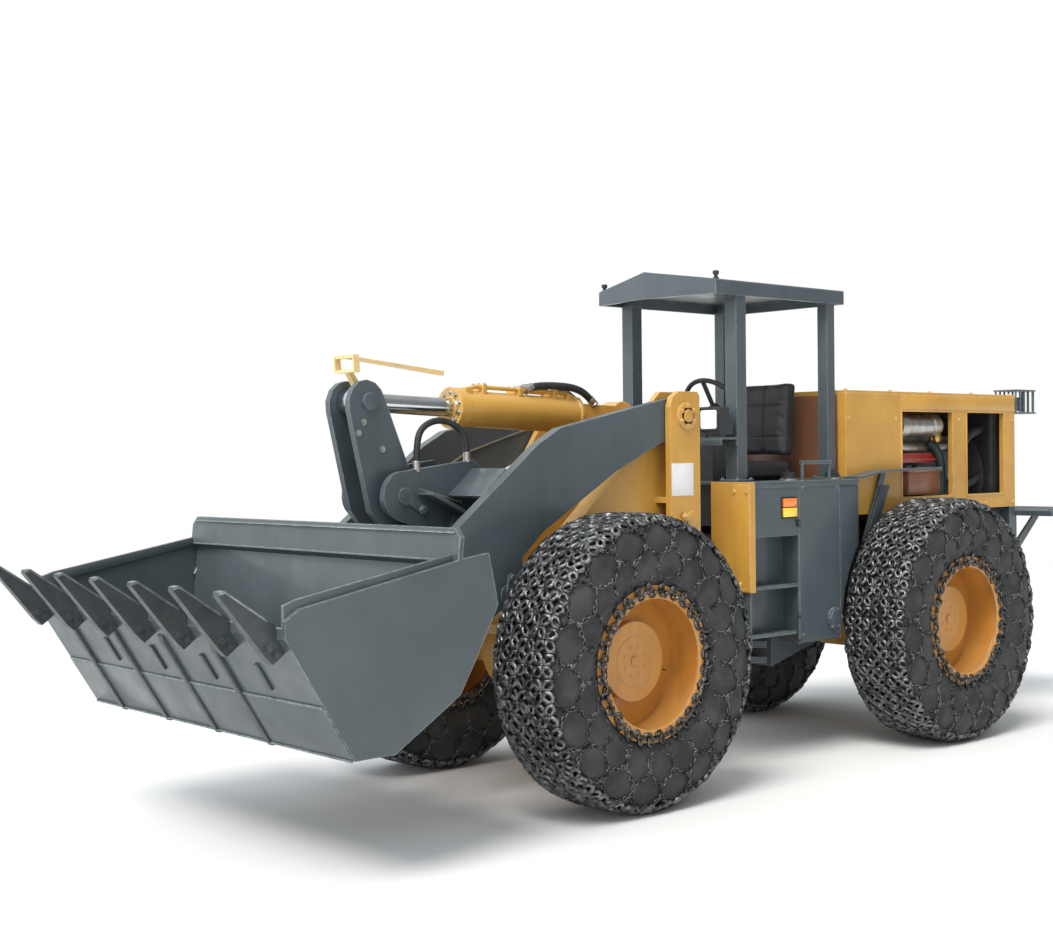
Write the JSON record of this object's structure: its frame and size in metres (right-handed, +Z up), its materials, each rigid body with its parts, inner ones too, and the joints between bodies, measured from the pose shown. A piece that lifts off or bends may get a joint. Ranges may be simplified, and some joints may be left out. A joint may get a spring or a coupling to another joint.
{
  "type": "articulated underground mining loader",
  "caption": "Low articulated underground loader with a roll-back toothed bucket, cranked lift arms, rocker linkage, open canopy and windowed engine hood.",
  "frame": {"origin": "middle of the machine at ground level", "axes": "+X forward towards the bucket, +Y to the left, +Z up"},
  "size_m": [6.114, 1.888, 2.357],
  "materials": {
    "slate_paint": "worn satin",
    "yellow_paint": "worn satin",
    "tyre_rubber": "worn satin",
    "chrome_rod": "worn satin",
    "dark_steel": "worn satin",
    "cast_grey": "worn satin",
    "black_vinyl": "worn satin",
    "black_plastic": "worn satin",
    "brassy_plate": "worn satin"
  },
  "bodies": {
    "rear_section": {"rear_frame": "dark_steel", "rear_axle": "yellow_paint", "counterweight": "slate_paint", "engine_block": "cast_grey", "gearbox": "cast_grey", "radiator": "dark_steel", "rear_drive_shaft": "dark_steel", "bonnet_frame": "yellow_paint", "bonnet_top": "yellow_paint", "operator_deck": "slate_paint", "left_tank": "slate_paint", "right_tank": "slate_paint", "battery_box": "slate_paint", "left_steps": "slate_paint", "station_apron": "yellow_paint", "canopy_posts": "slate_paint", "canopy_roof": "slate_paint", "seat_base": "slate_paint", "seat_cushion": "black_vinyl", "seat_backrest": "black_vinyl", "control_console": "black_plastic", "steering_wheel": "black_plastic", "head_lamps": "black_plastic", "rear_lamps": "black_plastic", "rear_fenders": "slate_paint", "grab_rails": "slate_paint", "filler_caps": "dark_steel"},
    "front_section": {"front_frame": "yellow_paint", "front_axle": "yellow_paint", "front_drive_shaft": "dark_steel"},
    "boom": {"lift_arms": "slate_paint"},
    "rocker": {"bellcrank": "slate_paint"},
    "link": {"tilt_link": "slate_paint"},
    "loader_bucket": {"bucket": "slate_paint", "bucket_teeth": "dark_steel"},
    "tilt_cylinder": {"tilt_barrel": "yellow_paint"},
    "tilt_piston": {"tilt_rod": "chrome_rod", "level_indicator": "brassy_plate"},
    "left_lift_cylinder": {"left_lift_barrel": "yellow_paint"},
    "left_lift_piston": {"left_lift_rod": "chrome_rod"},
    "left_steer_cylinder": {"left_steer_barrel": "yellow_paint"},
    "left_steer_piston": {"left_steer_rod": "chrome_rod"},
    "right_lift_cylinder": {"right_lift_barrel": "yellow_paint"},
    "right_lift_piston": {"right_lift_rod": "chrome_rod"},
    "right_steer_cylinder": {"right_steer_barrel": "yellow_paint"},
    "right_steer_piston": {"right_steer_rod": "chrome_rod"},
    "front_left_wheel": {"front_left_tyre": "tyre_rubber", "front_left_rim": "yellow_paint"},
    "front_right_wheel": {"front_right_tyre": "tyre_rubber", "front_right_rim": "yellow_paint"},
    "rear_left_wheel": {"rear_left_tyre": "tyre_rubber", "rear_left_rim": "yellow_paint"},
    "rear_right_wheel": {"rear_right_tyre": "tyre_rubber", "rear_right_rim": "yellow_paint"}
  },
  "joints": [
    {"name": "articulation", "type": "hinge", "parent": "rear_section", "child": "front_section", "pos_m": [-0.126, 0, 0.795], "axis": [0, 0, 1], "range_deg": [-30, 30]},
    {"name": "boom_lift", "type": "hinge", "parent": "front_section", "child": "boom", "pos_m": [0.417, 0, 1.651], "axis": [0, -1, 0], "range_deg": [-4, 62]},
    {"name": "bucket_tilt", "type": "hinge", "parent": "boom", "child": "loader_bucket", "pos_m": [2.23, 0, 0.44], "axis": [0, 1, 0], "range_deg": [0, 158]},
    {"name": "rocker_pivot", "type": "hinge", "parent": "boom", "child": "rocker", "pos_m": [1.787, 0, 1.318], "axis": [0, -1, 0], "range_deg": [-0.5, 27.82]},
    {"name": "link_pivot", "type": "hinge", "parent": "rocker", "child": "link", "pos_m": [1.427, 0, 0.789], "axis": [0, 1, 0], "range_deg": [-0.5, 12.05]},
    {"name": "tilt_cylinder_swing", "type": "hinge", "parent": "boom", "child": "tilt_cylinder", "pos_m": [0.417, 0, 1.651], "axis": [0, 1, 0], "range_deg": [-1.43, 0.5]},
    {"name": "tilt_rod_slide", "type": "slide", "parent": "tilt_cylinder", "child": "tilt_piston", "axis": [0.9993, 0, 0.0374], "range_m": [-0.19365, 0.002]},
    {"name": "left_lift_swing", "type": "hinge", "parent": "front_section", "child": "left_lift_cylinder", "pos_m": [0.267, 0.2, 0.68], "axis": [0, -1, 0], "range_deg": [-3.03, 39.64]},
    {"name": "left_lift_slide", "type": "slide", "parent": "left_lift_cylinder", "child": "left_lift_piston", "axis": [0.9821, 0, 0.1885], "range_m": [-0.05361, 0.80195]},
    {"name": "left_steer_swing", "type": "hinge", "parent": "rear_section", "child": "left_steer_cylinder", "pos_m": [-0.673, 0.185, 0.8], "axis": [0, 0, 1], "range_deg": [-1.68, 1.68]},
    {"name": "left_steer_slide", "type": "slide", "parent": "left_steer_cylinder", "child": "left_steer_piston", "axis": [0.9997, 0.0261, 0], "range_m": [-0.10224, 0.10224]},
    {"name": "right_lift_swing", "type": "hinge", "parent": "front_section", "child": "right_lift_cylinder", "pos_m": [0.267, -0.2, 0.68], "axis": [0, -1, 0], "range_deg": [-3.03, 39.64]},
    {"name": "right_lift_slide", "type": "slide", "parent": "right_lift_cylinder", "child": "right_lift_piston", "axis": [0.9821, 0, 0.1885], "range_m": [-0.05361, 0.80195]},
    {"name": "right_steer_swing", "type": "hinge", "parent": "rear_section", "child": "right_steer_cylinder", "pos_m": [-0.673, -0.185, 0.8], "axis": [0, 0, 1], "range_deg": [-1.68, 1.68]},
    {"name": "right_steer_slide", "type": "slide", "parent": "right_steer_cylinder", "child": "right_steer_piston", "axis": [0.9997, -0.0261, 0], "range_m": [-0.10224, 0.10224]},
    {"name": "front_left_wheel_spin", "type": "hinge", "parent": "front_section", "child": "front_left_wheel", "pos_m": [1.021, 0.66, 0.62], "axis": [0, 1, 0], "continuous": true},
    {"name": "front_right_wheel_spin", "type": "hinge", "parent": "front_section", "child": "front_right_wheel", "pos_m": [1.021, -0.66, 0.62], "axis": [0, 1, 0], "continuous": true},
    {"name": "rear_left_wheel_spin", "type": "hinge", "parent": "rear_section", "child": "rear_left_wheel", "pos_m": [-1.273, 0.66, 0.62], "axis": [0, 1, 0], "continuous": true},
    {"name": "rear_right_wheel_spin", "type": "hinge", "parent": "rear_section", "child": "rear_right_wheel", "pos_m": [-1.273, -0.66, 0.62], "axis": [0, 1, 0], "continuous": true}
  ],
  "couplings": [
    {"joint": "rocker_pivot", "follows": "bucket_tilt", "ratio": 0.17291},
    {"joint": "link_pivot", "follows": "bucket_tilt", "ratio": 0.073095},
    {"joint": "tilt_cylinder_swing", "follows": "bucket_tilt", "ratio": -0.005887},
    {"joint": "tilt_rod_slide", "follows": "bucket_tilt", "m_per_rad": -0.069498},
    {"joint": "left_lift_swing", "follows": "boom_lift", "ratio": 0.63134},
    {"joint": "left_lift_slide", "follows": "boom_lift", "m_per_rad": 0.73925},
    {"joint": "left_steer_swing", "follows": "articulation", "ratio": 0.039476},
    {"joint": "left_steer_slide", "follows": "articulation", "m_per_rad": -0.19144},
    {"joint": "right_lift_swing", "follows": "boom_lift", "ratio": 0.63134},
    {"joint": "right_lift_slide", "follows": "boom_lift", "m_per_rad": 0.73925},
    {"joint": "right_steer_swing", "follows": "articulation", "ratio": 0.039476},
    {"joint": "right_steer_slide", "follows": "articulation", "m_per_rad": 0.19144}
  ]
}
